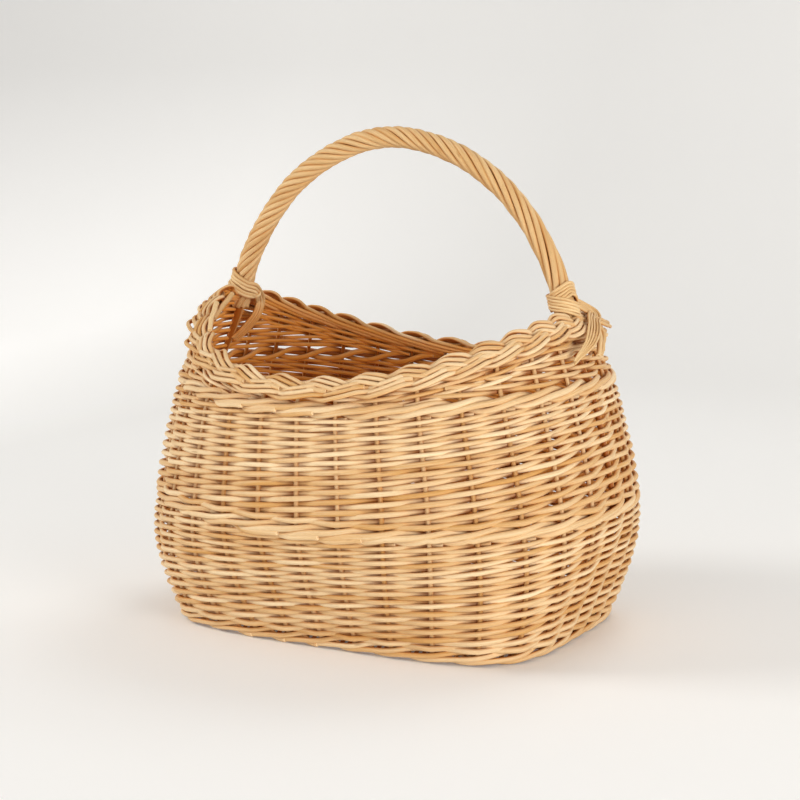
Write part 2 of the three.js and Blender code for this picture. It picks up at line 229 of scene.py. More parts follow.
capForm = {"width": 0.86, "bevel": 0.12, "dome": 0.10, "grain": 0.8, "rim": 0.75, "shift": 3.7}
# Painted shade in the hollows: how far behind the wall's middle a side starts to darken, and over what depth
# the painted shade grows full.
hollowShadeForm = {"from": 0.0004, "width": 0.0019}


def addObject(name, data):
    thing = bpy.data.objects.new(name, data)
    bpy.context.scene.collection.objects.link(thing)
    return thing


# Rods: each is a centre line with a normal and a radius at every point. All the rods of a
# piece become one mesh, with attributes for the grain, the rod's own tone, its cut ends,
# the side that faces outwards and how far a side is sunk behind the neighbours, the last two for painted
# shade.
def tubeMesh(name, rods, sides=8):
    points, faces, smoothFaces, grain = [], [], [], []
    masks = {"tone": [], "cutEnd": [], "outward": [], "hollowShade": []}
    start = 0
    turn = 2 * math.pi * np.arange(sides) / sides
    cosine, sine = np.cos(turn), np.sin(turn)
    for rod in rods:
        line, normal = rod["line"], rod["normal"]
        radius = np.broadcast_to(rod["radius"], line.shape[:1]).astype(float)
        along = unit(np.gradient(line, axis=0))
        side = unit(normal - along * np.sum(normal * along, axis=1, keepdims=True))
        other = np.cross(along, side)
        ring = (line[:, None] + side[:, None] * (cosine * radius[:, None])[..., None]
                + other[:, None] * (sine * radius[:, None])[..., None])
        length = runLength(line)
        count = len(line)
        caps, poles = [], []
        for end, ahead in ((0, -along[0]), (-1, along[-1])):
            caps.append(line[end] + (ring[end] - line[end]) * capForm["width"]
                        + ahead * radius[end] * capForm["bevel"])
            poles.append((line[end] + ahead * radius[end] * capForm["dome"])[None])
        points += [ring.reshape(-1, 3), *caps, *poles]
        i = np.arange(count - 1)[:, None] * sides + start
        j = np.arange(sides)[None]
        k = (j + 1) % sides
        quads = np.stack([i + j, i + k, i + sides + k, i + sides + j], axis=-1).reshape(-1, 4)
        faces += quads.tolist()
        smoothFaces += [True] * len(quads)
        capA = start + count * sides
        capB = capA + sides
        poleA = capB + sides
        poleB = poleA + 1
        lastRing = start + (count - 1) * sides
        for a in range(sides):
            b = (a + 1) % sides
            faces += [[start + b, start + a, capA + a, capA + b], [capA + b, capA + a, poleA],
                      [lastRing + a, lastRing + b, capB + b, capB + a], [capB + a, capB + b, poleB]]
            smoothFaces += [True, False, True, False]
        shift = rod["seed"] * capForm["shift"]
        around = np.stack([cosine, sine], axis=-1)
        body = np.concatenate([np.broadcast_to(length[:, None, None] + shift, (count, sides, 1)),
                               around[None] * radius[:, None, None]], axis=2).reshape(-1, 3)
        grain.append(body)
        ends = [(0, radius[0], sides), (length[-1], radius[-1], sides), (0, 0, 1), (length[-1], 0, 1)]
        for at, r, n in ends:
            flat = np.full((n, 3), at + shift)
            flat[:, 1:] = around[:n] * r * capForm["grain"]
            grain.append(flat)
        total = count * sides + 2 * sides + 2
        closed = total - count * sides
        masks["tone"].append(np.full(total, rod["tone"]))
        masks["cutEnd"].append(np.concatenate([np.zeros(count * sides), np.full(2 * sides, capForm["rim"]),
                                               np.ones(2)]))
        # Painted shade on a rod's flanks and its inward side; stretches on the basket's inside take it all
        # round.
        inside = np.broadcast_to(rod.get("inside", 0.0), line.shape[:1])[:, None]
        facing = (cosine * (1 - inside) - inside).ravel()
        masks["outward"].append(np.concatenate([facing, np.ones(closed)]))
        # Painted shade in the hollows: a side sunk behind the wall's middle surface gets a darker colour.
        offset = np.broadcast_to(rod["offset"], line.shape[:1])[:, None]
        depth = offset * np.sign(np.round(cosine, 3)) + radius[:, None] * np.abs(cosine)
        sunkShade = np.clip((hollowShadeForm["from"] - depth) / hollowShadeForm["width"], 0, 1).ravel()
        masks["hollowShade"].append(np.concatenate([sunkShade, np.zeros(closed)]))
        start += total
    mesh = bpy.data.meshes.new(name)
    mesh.from_pydata(np.concatenate(points).tolist(), [], faces)
    mesh.polygons.foreach_set("use_smooth", smoothFaces)
    fibres = mesh.attributes.new("grain", "FLOAT_VECTOR", "POINT")
    fibres.data.foreach_set("vector", np.concatenate(grain).ravel())
    for key, values in masks.items():
        mesh.attributes.new(key, "FLOAT", "POINT").data.foreach_set("value", np.concatenate(values))
    mesh.update()
    return addObject(name, mesh)


# A rod with its own tone, which leans to paler or warmer. Its offset is the distance from
# the wall's middle surface, and sets the painted shade in the hollows.
toneSpread = 0.42


def rodOf(rng, line, normal, radius, lean=0.0, offset=0.01):
    tone = np.clip(rng.normal(lean, toneSpread), -1, 1)
    return {"line": line, "normal": normal, "radius": radius, "offset": offset,
            "tone": tone, "seed": rng.random()}


# Puts values into a node's inputs, or links other nodes' outputs to them.
def feed(node, inputs):
    for key, value in inputs.items():
        if isinstance(value, bpy.types.NodeSocket):
            node.id_data.links.new(value, node.inputs[key])
        else:
            node.inputs[key].default_value = value


def addNode(tree, kind, inputs=(), **settings):
    node = tree.nodes.new(kind)
    for key, value in settings.items():
        setattr(node, key, value)
    feed(node, dict(inputs))
    return node


# Peeled willow: long fine streaks, slow changes of tone along a rod, small bud scars
# and pale cut ends with a darker pith. Painted shade deepens a rod's flanks and inward side,
# and deeper painted shade fills what is sunk between neighbours. Scales are along a rod and across it.
grainForm = {
    "colors": ["Pale", "Warm", "Deep", "Inner Shade", "Hollow Shade"], "values": ["Streaks", "Tone Spread", "Scars"],
    "streak": (16, 1500, 1500), "patch": (11, 120, 120), "fleck": (260, 2200, 2200), "scar": (26, 110, 110),
    "patches": 1.1, "scarFrom": 0.05, "scarTo": 0.13, "lineBelow": 0.42, "lineGain": 2.4, "lineShare": 0.5,
    "fleckShare": 0.6, "innerFrom": 0.6, "innerShare": 0.62, "hollowShadeShare": 0.88, "pithFrom": 0.93,
    "endFrom": 0.3, "rough": 0.38, "streakRough": 0.22, "streakHeight": 0.7, "fleckHeight": 0.3,
    "scarDepth": 0.5,
}


def willowGrain():
    form = grainForm
    group = bpy.data.node_groups.new("willowGrain", "ShaderNodeTree")
    sockets = [(name, "INPUT", "NodeSocketColor") for name in form["colors"]]
    sockets += [(name, "INPUT", "NodeSocketFloat") for name in form["values"]]
    sockets += [("Color", "OUTPUT", "NodeSocketColor"), ("Roughness", "OUTPUT", "NodeSocketFloat"),
                ("Height", "OUTPUT", "NodeSocketFloat")]
    for name, way, kind in sockets:
        group.interface.new_socket(name=name, in_out=way, socket_type=kind)

    def maths(operation, a, b, clamp=False):
        node = addNode(group, "ShaderNodeMath", {0: a, 1: b}, operation=operation, use_clamp=clamp)
        return node.outputs[0]

    def mixed(share, a, b):
        node = addNode(group, "ShaderNodeMix", {"Factor": share, "A": a, "B": b}, data_type="RGBA")
        return node.outputs["Result"]

    def attribute(name, output="Fac"):
        return addNode(group, "ShaderNodeAttribute", attribute_name=name).outputs[output]

    grain = attribute("grain", "Vector")

    def texture(kind, scale, output, **inputs):
        place = addNode(group, "ShaderNodeMapping", {"Scale": scale, "Vector": grain})
        return addNode(group, kind, {"Vector": place.outputs[0], "Scale": 1, **inputs}).outputs[output]

    entry = addNode(group, "NodeGroupInput").outputs
    streak = texture("ShaderNodeTexNoise", form["streak"], "Fac", Detail=3)
    patch = texture("ShaderNodeTexNoise", form["patch"], "Fac", Detail=1)
    fleck = texture("ShaderNodeTexNoise", form["fleck"], "Fac", Detail=2)
    cell = texture("ShaderNodeTexVoronoi", form["scar"], "Distance")
    spread = maths("MULTIPLY", attribute("tone"), entry["Tone Spread"])
    streaky = maths("MULTIPLY", maths("SUBTRACT", streak, 0.5), entry["Streaks"])
    patchy = maths("MULTIPLY", maths("SUBTRACT", patch, 0.5), form["patches"])
    warmth = maths("ADD", maths("ADD", spread, streaky), maths("ADD", patchy, 0.5), True)
    body = mixed(warmth, entry["Pale"], entry["Warm"])

    scar = addNode(group, "ShaderNodeMapRange", {"Value": cell, "From Min": form["scarFrom"],
                                                 "From Max": form["scarTo"], "To Min": 1, "To Max": 0})
    scarred = maths("MULTIPLY", scar.outputs[0], entry["Scars"])
    lines = maths("MULTIPLY", maths("SUBTRACT", form["lineBelow"], streak, True), form["lineGain"], True)
    marks = maths("ADD", scarred, maths("MULTIPLY", lines, form["lineShare"]), True)
    body = mixed(marks, body, entry["Deep"])
    specks = maths("MULTIPLY", maths("SUBTRACT", fleck, 0.5, True), form["fleckShare"])
    body = mixed(specks, body, entry["Deep"])

    # Painted shade: flanks and inward sides of rods take the inner colour, and sides sunk between neighbours
    # the deeper hollow colour.
    inner = maths("SUBTRACT", form["innerFrom"], attribute("outward"))
    body = mixed(maths("MULTIPLY", inner, form["innerShare"], True), body, entry["Inner Shade"])
    body = mixed(maths("MULTIPLY", attribute("hollowShade"), form["hollowShadeShare"]), body, entry["Hollow Shade"])

    cutEnd = attribute("cutEnd")
    endColor = mixed(maths("GREATER_THAN", cutEnd, form["pithFrom"]), entry["Pale"], entry["Warm"])
    bumps = maths("ADD", maths("MULTIPLY", streak, form["streakHeight"]),
                  maths("MULTIPLY", fleck, form["fleckHeight"]))
    addNode(group, "NodeGroupOutput", {
        "Color": mixed(maths("GREATER_THAN", cutEnd, form["endFrom"]), body, endColor),
        "Roughness": maths("ADD", form["rough"], maths("MULTIPLY", streak, form["streakRough"])),
        "Height": maths("SUBTRACT", bumps, maths("MULTIPLY", scarred, form["scarDepth"]))})
    return group


grainGroup = willowGrain()


# A colour as seen on screen, turned into the linear values that Blender takes.
def tint(red, green, blue):
    def linear(v):
        v = v / 255
        return v / 12.92 if v <= 0.04045 else ((v + 0.055) / 1.055) ** 2.4
    return (linear(red), linear(green), linear(blue), 1)


# The inner and hollow colours are painted shade for inward sides and for the hollows between rods.
skinForm = {"inner": tint(240, 160, 62), "hollowShade": tint(156, 78, 6), "bump": 0.35, "bumpDepth": 0.0003,
            "specular": 0.3}


def willow(name, pale, warm, deep, streaks, spread, scars):
    material = bpy.data.materials.new(name)
    material.use_nodes = True
    tree = material.node_tree
    grain = addNode(tree, "ShaderNodeGroup", {
        "Pale": pale, "Warm": warm, "Deep": deep, "Inner Shade": skinForm["inner"], "Hollow Shade": skinForm["hollowShade"],
        "Streaks": streaks, "Tone Spread": spread, "Scars": scars}, node_tree=grainGroup)
    bump = addNode(tree, "ShaderNodeBump", {
        "Strength": skinForm["bump"], "Distance": skinForm["bumpDepth"], "Height": grain.outputs["Height"]})
    feed(tree.nodes["Principled BSDF"], {
        "Base Color": grain.outputs["Color"], "Roughness": grain.outputs["Roughness"],
        "Normal": bump.outputs["Normal"], "Specular IOR Level": skinForm["specular"]})
    return material


weaverSkin = willow("peeled weavers", tint(247, 221, 178), tint(213, 160, 92), tint(150, 90, 30),
                    streaks=1.1, spread=0.42, scars=0.45)
stakeSkin = willow("peeled stakes", tint(240, 205, 156), tint(202, 147, 80), tint(148, 88, 30),
                   streaks=1.0, spread=0.34, scars=0.45)
handleSkin = willow("peeled handle rods", tint(240, 208, 156), tint(203, 152, 88), tint(148, 92, 34),
                    streaks=1.15, spread=0.38, scars=0.5)
print("stage: materials made")


# Weaves a piece from its rods and hands it over in the place of the CAD node of its name.
def settle(name, rods, skin, sides=8):
    piece = tubeMesh(name, rods, sides)
    piece.data.materials.append(skin)
    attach(piece, "root")
    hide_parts(name)


# French randing: 32 rods side by side, each in front of one stake and behind the next,
# climbing together. They taper from butt to tip, so the rounds close up towards the top.
# "before" and "beyond" are the lengths of the hidden ends, in spaces between stakes.
weaveForm = {"hug": 0.88, "tremble": 0.0003}
sidingDetail = {"stepsPerSpace": 10, "before": 1.2, "beyond": 0.28, "sizes": (0.91, 1.09), "third": 0.10,
                "lead": 0.07, "standOff": 0.0008}
sidings = {
    "siding_lower": {"spaces": 25, "butt": 0.00262, "tip": 0.00190, "stake": 0.0021, "firstRound": 0.0090,
                     "lastRound": 0.0064, "stray": 0.0004, "seed": 11,
                     "low": lambda p: wallForm["bottomWaleHeight"] - 0.001 + 0 * p,
                     "high": lambda p: waistLine(p) - halfWale + 0.003},
    "siding_upper": {"spaces": 23, "butt": 0.00272, "tip": 0.00187, "stake": 0.0020, "firstRound": 0.0103,
                     "lastRound": 0.0062, "stray": 0.0005, "seed": 12,
                     "low": lambda p: waistLine(p) + halfWale - 0.002,
                     "high": lambda p: topWaleLine(p) - halfWale + 0.003},
}


def sidingRods(form):
    detail = sidingDetail
    rng = np.random.default_rng(form["seed"])
    last = form["spaces"]
    steps = int(round((last + detail["before"] + detail["beyond"]) * detail["stepsPerSpace"]))
    rods = []
    for k in range(places):
        s = np.linspace(-detail["before"], last + detail["beyond"], steps)
        place = k + s
        share = np.clip(s / last, 0, 1)
        size = rng.uniform(*detail["sizes"])
        radius = (form["butt"] + (form["tip"] - form["butt"]) * share) * size
        climb = form["firstRound"] * share + (form["lastRound"] - form["firstRound"]) * share ** 2 / 2
        climb = climb / ((form["firstRound"] + form["lastRound"]) / 2)
        low = form["low"](place) + form["butt"]
        high = form["high"](place) - form["tip"]
        z = low + (high - low) * climb + form["stray"] * sway(rng, s)
        reach = (form["stake"] + radius) * weaveForm["hug"]
        third, turn = detail["third"], math.pi * (s + detail["lead"])
        bends = (np.cos(turn) + third * np.cos(3 * turn)) / (1 + third)      # straight between the stakes
        offset = reach * bends + detail["standOff"] + weaveForm["tremble"] * sway(rng, s)
        line, normal = levelOnWall(place, z, offset)
        rods.append(rodOf(rng, line, normal, radius * swelling(rng, s), offset=offset))
    return rods


for name, form in sidings.items():
    settle(name, sidingRods(form), weaverSkin)
print("stage: sidings woven")

# Three-rod wales: each rod passes in front of two stakes and behind the third. Its way past
# them is a sum of waves, across the wall and up and down.
waleShape = {"rods": 3, "rounds": 33, "before": 0.4, "steps": 320, "sizes": (0.94, 1.06), "tailOut": 0.0014,
             "across": (0.347, -1.027, -0.307, -0.013), "upward": (0.866, 0.289), "tuckFrom": 1.3,
             "tuckTo": 0.5, "lean": -0.15}
wales = {
    "bottom_wale": {"line": lambda p: 0.0076 + 0 * p, "spread": 0.0037, "butt": 0.00235, "tip": 0.0021,
                    "stake": 0.0021, "start": 29, "beyond": 0.9, "drop": 0.0, "seed": 21},
    "waist_wale": {"line": waistLine, "spread": 0.0045, "butt": 0.0029, "tip": 0.0024,
                   "stake": 0.0021, "start": 30, "beyond": 1.6, "drop": 0.0024, "seed": 22},
    "top_wale": {"line": topWaleLine, "spread": 0.0045, "butt": 0.0029, "tip": 0.0024,
                 "stake": 0.0020, "start": 29, "beyond": 1.5, "drop": 0.0022, "seed": 23},
}


def waleRods(form):
    shape = waleShape
    rng = np.random.default_rng(form["seed"])
    rods = []
    for j in range(shape["rods"]):
        last = shape["rounds"] + form["beyond"] - (3 if j == shape["rods"] - 1 else 0)
        s = np.linspace(-shape["before"], last, shape["steps"])
        turn = 2 * math.pi * s / shape["rods"]
        share = np.clip(s / last, 0, 1)
        radius = (form["butt"] + (form["tip"] - form["butt"]) * share) * rng.uniform(*shape["sizes"])
        cross = sum(size * np.cos(i * turn) for i, size in enumerate(shape["across"]))
        rise = -sum(size * np.sin((i + 1) * turn) for i, size in enumerate(shape["upward"]))
        place = form["start"] + j + s
        tuck = smooth(last - shape["tuckFrom"], last - shape["tuckTo"], s)
        z = form["line"](place) + form["spread"] * rise - form["drop"] * tuck
        z = z + weaveForm["tremble"] * sway(rng, s)
        offset = (form["stake"] + radius) * weaveForm["hug"] * cross + shape["tailOut"] * tuck
        line, normal = onWall(place, z, offset)
        rods.append(rodOf(rng, line, normal, radius * swelling(rng, s), shape["lean"], offset))
    return rods


for name, form in wales.items():
    settle(name, waleRods(form), weaverSkin, sides=10)
print("stage: wales woven")

# Short rows that fill the rising ends between the top wale and the border. One rod turns
# round the last stake of each row and comes back above itself. Thinner rods run above the
# rows, close under the border and parallel to it, until they meet the wale.
packingForm = {
    "pitch": 0.0037, "radius": 0.00195, "reach": 7, "stake": 0.0020, "turnsPast": 0.3, "stepsPerSpace": 10,
    "stray": 0.0004, "sizes": (0.92, 1.08), "butt": 1.08, "tip": 0.9, "rowsPerRod": 3, "overlapSteps": 3,
    "slopes": 6, "slopeTop": 0.0025, "slopePitch": 0.0030, "slopeRadius": 0.0017, "tuck": 0.004,
    "overlap": 0.55, "slopeSteps": 200, "slopeStray": 0.0005, "slopeSizes": (0.9, 1.1), "slopeButt": 1.12,
    "tuckSwing": 0.55, "tuckWidth": 0.7, "slopeLean": 0.1,
}


def packingRoom(place):
    return plaitLine(place) - wallForm["borderDrop"] - topWaleLine(place) - halfWale


def packingSpan(end, level):
    band = (packingForm["slopes"] - 1) * packingForm["slopePitch"] * (1 - packingForm["overlap"])
    steps = range(-packingForm["reach"], packingForm["reach"] + 1)
    free = [k for k in steps if packingRoom(end + k) - band > level]
    return (min(free), max(free)) if len(free) > 1 else None


def packingRows(end, rng):
    form = packingForm
    rows, level = [], form["pitch"] / 2
    while packingSpan(end, level):
        rows.append((level, packingSpan(end, level)))
        level += form["pitch"]
    place, height, swing = [], [], []
    for i, (level, (first, last)) in enumerate(rows):
        first, last = first - form["turnsPast"], last + form["turnsPast"] + 1e-6
        span = np.arange(first, last, 1 / form["stepsPerSpace"])
        if i % 2:
            span = span[::-1]
        place.append(end + span)
        height.append(level + 0 * span)
        swing.append(np.cos(math.pi * (span + i)))
    place, height, swing = (np.concatenate(x) for x in (place, height, swing))
    s = np.arange(len(place)) / form["stepsPerSpace"]
    z = topWaleLine(place) + halfWale + height + form["stray"] * sway(rng, s)
    offset = (form["stake"] + form["radius"]) * weaveForm["hug"] * swing
    line, normal = levelOnWall(place, z, offset)
    cuts = np.linspace(0, len(line), len(rows) // form["rowsPerRod"] + 1).astype(int)
    rods = []
    for a, b in zip(cuts[:-1], cuts[1:]):
        b = min(len(line), b + form["overlapSteps"])
        radius = form["radius"] * rng.uniform(*form["sizes"]) * np.linspace(form["butt"], form["tip"], b - a)
        rods.append(rodOf(rng, line[a:b], normal[a:b], radius, offset=offset[a:b]))
    return rods


def slopingRods(end, rng):
    form = packingForm
    rods = []
    for t in range(form["slopes"]):
        span = np.linspace(-form["reach"], form["reach"], form["slopeSteps"])
        drop = form["slopePitch"] * t - form["slopeTop"]
        room = packingRoom(end + span) - drop
        span, room = span[room > -form["tuck"]], room[room > -form["tuck"]]
        z = plaitLine(end + span) - wallForm["borderDrop"] - drop
        z = z + form["slopeStray"] * sway(rng, span, 0.1, 0.4)
        narrow = smooth(-form["tuck"], form["tuck"], room)
        swing = np.cos(math.pi * (span + t)) * (form["tuckSwing"] + (1 - form["tuckSwing"]) * narrow)
        offset = (form["stake"] + form["slopeRadius"]) * weaveForm["hug"] * swing
        line, normal = levelOnWall(end + span, z, offset)
        size = form["slopeRadius"] * rng.uniform(*form["slopeSizes"])
        radius = size * np.linspace(form["slopeButt"], form["tip"], len(span))
        radius = radius * (form["tuckWidth"] + (1 - form["tuckWidth"]) * narrow)
        rods.append(rodOf(rng, line, normal, radius, form["slopeLean"], offset))
    return rods


def packingRods(end, seed):
    rng = np.random.default_rng(seed)
    return packingRows(end, rng) + slopingRods(end, rng)


wedges = {"packing_right": (rightEnd, 31), "packing_left": (leftEnd, 32)}
for name, (end, seed) in wedges.items():
    settle(name, packingRods(end, seed), weaverSkin)
print("stage: packing woven")

# The plaited border: every stake's end bends over inside, runs behind its neighbour and joins
# the plait. It stays in one of the three strands for some ten places, moves slowly across
# the strand as newer rods join, and comes out as a cut end under the outer edge. Lengths
# along the rim count in places, and the inner ones say where the rod runs before it joins.
plaitForm = {
    "radius": 0.00198, "sizes": (0.92, 1.08), "step": 0.08, "joinsAt": 3.1, "joining": (-0.8, 0.15),
    "swing": 0.0055, "straight": 0.08, "period": 3.0, "rodSpacing": 0.0040, "middleSlot": 4.6,
    "lift": 0.0025, "flatness": 2.2, "stray": 0.0002, "stretch": 0.45, "stretchAt": 30.8,
    "tailAt": 9.1, "tailLength": 0.45, "tails": (0.4, 1.0), "thickening": (-0.6, 0.1), "tailGrowth": 0.18,
    "sinking": (0, 0.4), "tailSink": 0.6, "steepness": (0.5, 1.1), "steep": 1.2, "calmWidth": 6,
    "innerLow": -0.0055, "innerHigh": 0.0042, "innerFrom": -0.0040, "innerTo": -0.0060,
    "innerStray": 0.0005, "inside": 0.7, "standOff": 0.0008, "early": 0.12, "hollowShadeLift": 0.01,
}


# Metres of the rim's crown line per place.
def borderPace(place, reach=0.05):
    here, _ = onBorder(place - reach, 0, 0)
    there, _ = onBorder(place + reach, 0, 0)
    return np.linalg.norm(there - here, axis=-1) / (2 * reach)


def borderRods():
    rng = np.random.default_rng(41)
    form = plaitForm
    bend, rate = form["straight"], 2 * math.pi / form["period"]
    rods = []
    for k in range(places):
        s = np.arange(-form["joinsAt"], form["tailAt"] + form["tailLength"] + 0.01, form["step"])
        start = k + form["joinsAt"] + s
        held = np.minimum(s, form["tailAt"])
        past = s - held
        turn = rate * held
        middle = -form["swing"] * (np.cos(turn) + bend * np.cos(3 * turn)) / (1 + bend)
        climb = form["swing"] * rate * (np.sin(turn) + 3 * bend * np.sin(3 * turn)) / (1 + bend)
        pace = borderPace(start)
        slant = np.hypot(climb, pace)
        slot = form["rodSpacing"] * (held - form["middleSlot"]) / form["period"]
        steep = rng.uniform(*form["steepness"]) * form["steep"]
        steep = steep * (1 - near(start, rightEnd, form["calmWidth"]))
        across = middle + slot * pace / slant + climb * past * steep + weaveForm["tremble"] * sway(rng, s)
        wave = np.tanh(form["flatness"] * np.sin(2 * turn)) / math.tanh(form["flatness"])
        lift = form["lift"] * wave * (1 - form["tailSink"] * smooth(*form["sinking"], past))
        lift = lift + form["stray"] * sway(rng, s)
        place = start - slot * climb / slant / pace
        phase = 4 * math.pi * (place - form["stretchAt"]) / places
        line, out = onBorder(place + form["stretch"] * np.sin(phase), across, lift)

        share = np.clip(1 + s / form["joinsAt"], 0, 1)
        rise = form["innerLow"] + (form["innerHigh"] - form["innerLow"]) * share
        rise = rise + form["innerStray"] * sway(rng, s)
        inward = form["innerFrom"] + (form["innerTo"] - form["innerFrom"]) * share
        first, firstOut = onWall(start, plaitLine(start) + rise, inward * smooth(0, form["early"], share))
        early = (1 - smooth(*form["joining"], s))[:, None]
        line = line * (1 - early) + first * early
        out = unit(out * (1 - early) - firstOut * early + 1e-6)
        radius = form["radius"] * rng.uniform(*form["sizes"]) * swelling(rng, s)
        radius = radius * (1 + form["tailGrowth"] * smooth(*form["thickening"], s - form["tailAt"]))
        keep = past <= rng.uniform(*form["tails"]) * form["tailLength"]
        # This offset only steers the painted hollow shade; the early stretch is lifted out of it.
        offset = lift + form["standOff"] + form["hollowShadeLift"] * early[:, 0]
        rods.append(rodOf(rng, line[keep], out[keep], radius[keep], offset=offset[keep]))
        # The stretch before a rod joins the plait takes the painted shade of the basket's inside.
        rods[-1]["inside"] = form["inside"] * early[keep, 0]
    return rods


settle("border_plait", borderRods(), weaverSkin, sides=10)
print("stage: border plaited")

# Stakes: a toe into the base, a bend at the foot and a lean that follows the wall.
stakeForm = {"toe": 0.017, "butt": 0.0023, "tip": 0.0019, "outerStickInset": 0.030, "stickRadius": 0.0032,
             "footBend": 0.004, "intoBorder": 0.002, "steps": 34, "toeShares": (1, 0.7, 0.4, 0.18),
             "sizes": (0.95, 1.05)}


def stakeLine(place):
    form, foot = stakeForm, wallForm["footHeight"]
    top = plaitLine(place) - wallForm["borderDrop"] + form["intoBorder"]
    z = np.concatenate([[foot], np.linspace(foot + form["footBend"], top, form["steps"])])
    line, normal = onWall(place, z, 0)
    footAt, footOut = onWall(place, foot, 0)
    flat = unit(footOut * sideways)
    row = planAt(foot)[1] - form["outerStickInset"]
    room = abs(footAt[1]) - row - form["stickRadius"] - 2 * form["butt"]
    toe = form["toe"] if room <= 0 else min(form["toe"], room / max(abs(flat[1]), 1e-6))
    toes = footAt - flat * toe * np.array(form["toeShares"])[:, None]
    return np.concatenate([toes, line]), np.concatenate([np.broadcast_to(down, toes.shape), normal])


rng = np.random.default_rng(51)
stakeNumber = 0
for place in range(places):
    if place in (rightEnd, leftEnd):
        continue
    stakeNumber += 1
    line, normal = stakeLine(place)
    radius = np.linspace(stakeForm["butt"], stakeForm["tip"], len(line)) * rng.uniform(*stakeForm["sizes"])
    settle(f"stake_{stakeNumber:02d}", [rodOf(rng, line, normal, radius)], stakeSkin)
print("stage: stakes set")

# The base: thick sticks lengthways, with weavers that pass over and under them.
# Its underside counts as the outer side of the basket, so the tops of its rods take the painted shade of the
# inside.
baseForm = {"sticks": 8, "stick": 0.0032, "stickTaper": 0.08, "stickRate": 40, "stickSteps": 40,
            "weaver": 0.0017, "pitch": 0.0036, "edge": 0.0071, "lift": 0.0046, "rate": 30, "steps": 70,
            "stray": 0.0001, "sizes": (0.95, 1.06), "margin": 0.002, "window": 0.004, "shortest": 0.02}
panelZ = wallForm["footHeight"]


def panelEdge():
    line, normal = onWall(np.linspace(0, places, 641)[:-1], panelZ, 0)
    return line - unit(normal * sideways) * baseForm["edge"]


edgeLine = panelEdge()
stickRows = []
for number in range(1, baseForm["sticks"] + 1):
    low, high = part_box(f"base_stick_{number}")
    row, reach = (low.y + high.y) / 2, high.x
    stickRows.append(row)
    x = np.linspace(-reach, reach, baseForm["stickSteps"])
    rng = np.random.default_rng(60 + number)
    row = row + weaveForm["tremble"] * sway(rng, x * baseForm["stickRate"])
    line = np.stack([x, row, panelZ + 0 * x], axis=1)
    radius = baseForm["stick"] * (1 - baseForm["stickTaper"] * (x / reach) ** 2)
    rod = rodOf(rng, line, np.broadcast_to(down, line.shape), radius)
    settle(f"base_stick_{number}", [rod], stakeSkin, sides=12)


def baseRods():
    form = baseForm
    rng = np.random.default_rng(71)
    rows = np.array(stickRows)
    keys = np.concatenate([[2 * rows[0] - rows[1]], rows, [2 * rows[-1] - rows[-2]]])
    index = np.arange(-1, len(rows) + 1)
    limit = edgeLine[:, 0].max() - form["margin"]
    rods = []
    for i in range(int(2 * limit / form["pitch"])):
        x = -limit + form["pitch"] * (i + 0.5)
        beside = np.abs(np.abs(edgeLine[:, 0]) - abs(x)) < form["window"]
        reach = np.abs(edgeLine[beside, 1]).max() - form["margin"]
        if reach < form["shortest"]:
            continue
        y = np.linspace(-reach, reach, form["steps"])
        step = np.interp(y, keys, index)
        lift = form["lift"] + form["stray"] * sway(rng, y * form["rate"])
        z = panelZ + lift * np.cos(math.pi * (step + i))
        line = np.stack([x + weaveForm["tremble"] * sway(rng, y * form["rate"]), y, z], axis=1)
        radius = form["weaver"] * rng.uniform(*form["sizes"])
        rods.append(rodOf(rng, line, np.broadcast_to(down, line.shape), radius))
    return rods


settle("base_weave", baseRods(), weaverSkin)
print("stage: base woven")

# The handle: a bow whose legs run down inside the end walls, roped with eight rods.
# "lay" is the roping's slant in degrees, which grows from the right foot to the crown.
handleForm = {
    "span": 0.339, "shoulder": 0.2698, "top": 0.4358, "squareness": 1.8, "legsIn": 0.0024, "legsFrom": 0.45,
    "legsTo": 0.8, "crownLow": 0.0015, "crownAt": 1.45, "crownWidth": 0.3, "bow": 0.0041, "bowTip": 0.0026,
    "legFoot": 0.005, "legSteps": 26, "rootLift": 0.011, "rootLength": 0.016,
}
ropingForm = {
    "rods": 8, "around": 0.00715, "radius": 0.00255, "layRight": 10.0, "layLeft": 28.0, "easeFrom": 0.02,
    "easeTo": 0.5, "drawnIn": 0.0014, "rootShare": 0.03, "steps": 240, "turnStray": 0.05, "turnRate": 9,
    "stray": 0.0002, "strayRate": 12, "sizes": (0.93, 1.07), "swelling": 0.04, "swellRate": 8,
}


def archTable():
    form = handleForm
    t = np.linspace(0, math.pi, 721)
    c, r = np.cos(t), superReach(t, form["squareness"])
    rise = np.sin(t) * r
    legs = 1 - smooth(form["legsFrom"], form["legsTo"], rise)
    x = form["span"] / 2 * c * r - form["legsIn"] * np.sign(c) * legs
    z = form["shoulder"] + (form["top"] - form["shoulder"]) * rise
    z = z - form["crownLow"] * np.exp(-((t - form["crownAt"]) / form["crownWidth"]) ** 2)
    points = np.stack([x, 0 * x, z], axis=1)
    return points, runLength(points)


archPoints, archDistance = archTable()
archAlong = unit(np.gradient(archPoints, axis=0))


# A point round the bow at a distance from its right foot. Turn 0 points to the back (+Y).
def roundArch(distance, turn, radius):
    def between(table):
        return np.stack([np.interp(distance, archDistance, table[:, i]) for i in range(3)], axis=-1)

    at, along = between(archPoints), unit(between(archAlong))
    side = np.broadcast_to(np.array([0, 1.0, 0]), along.shape)
    up = np.cross(along, side)
    out = side * np.cos(turn)[..., None] + up * np.sin(turn)[..., None]
    return at + out * np.asarray(radius)[..., None], out


